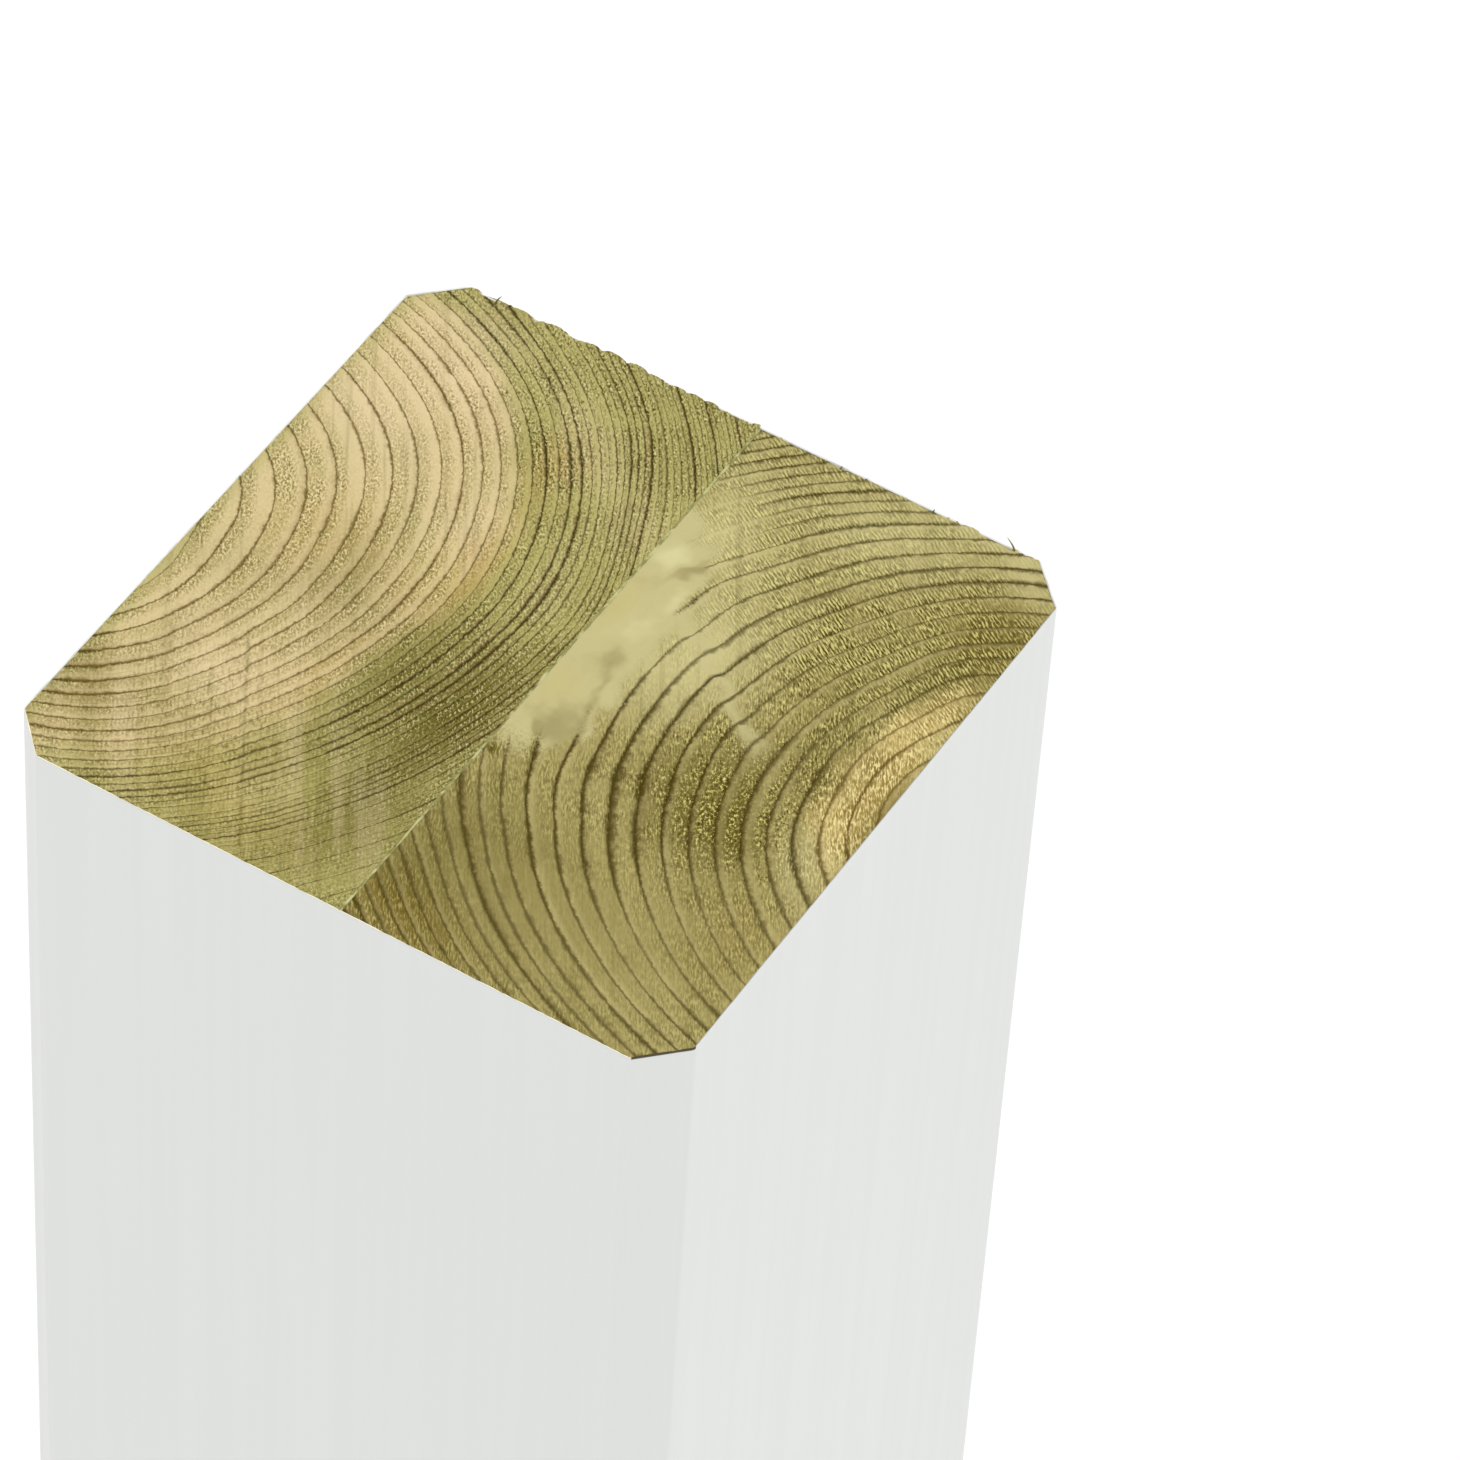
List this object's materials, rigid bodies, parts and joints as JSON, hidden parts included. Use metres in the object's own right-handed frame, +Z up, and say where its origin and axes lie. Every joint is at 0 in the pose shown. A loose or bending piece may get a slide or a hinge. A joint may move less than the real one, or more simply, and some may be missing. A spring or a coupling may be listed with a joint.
{
  "type": "glulam post",
  "caption": "Square painted glulam post: softwood lamellas glued face to face, chamfered arrises, raw sawn ends. Carries a fence, pergola or carport.",
  "frame": {"origin": "centre of the sawn underside", "axes": "+Z up along the post, +X across the glue joint from the wider lamella to the narrower one, +Y along the glue joint"},
  "size_m": [0.09, 0.09, 1],
  "materials": {
    "treated_pine": "raw sawn end grain, olive from pressure treatment, matt and slightly rough",
    "cured_glue": "thin pale glue film, matt",
    "white_paint": "opaque white satin paint on planed wood"
  },
  "bodies": {
    "root": {"lamella_left": "treated_pine", "lamella_right": "treated_pine", "glue_line": "cured_glue", "paint_coat": "white_paint"}
  },
  "joints": []
}
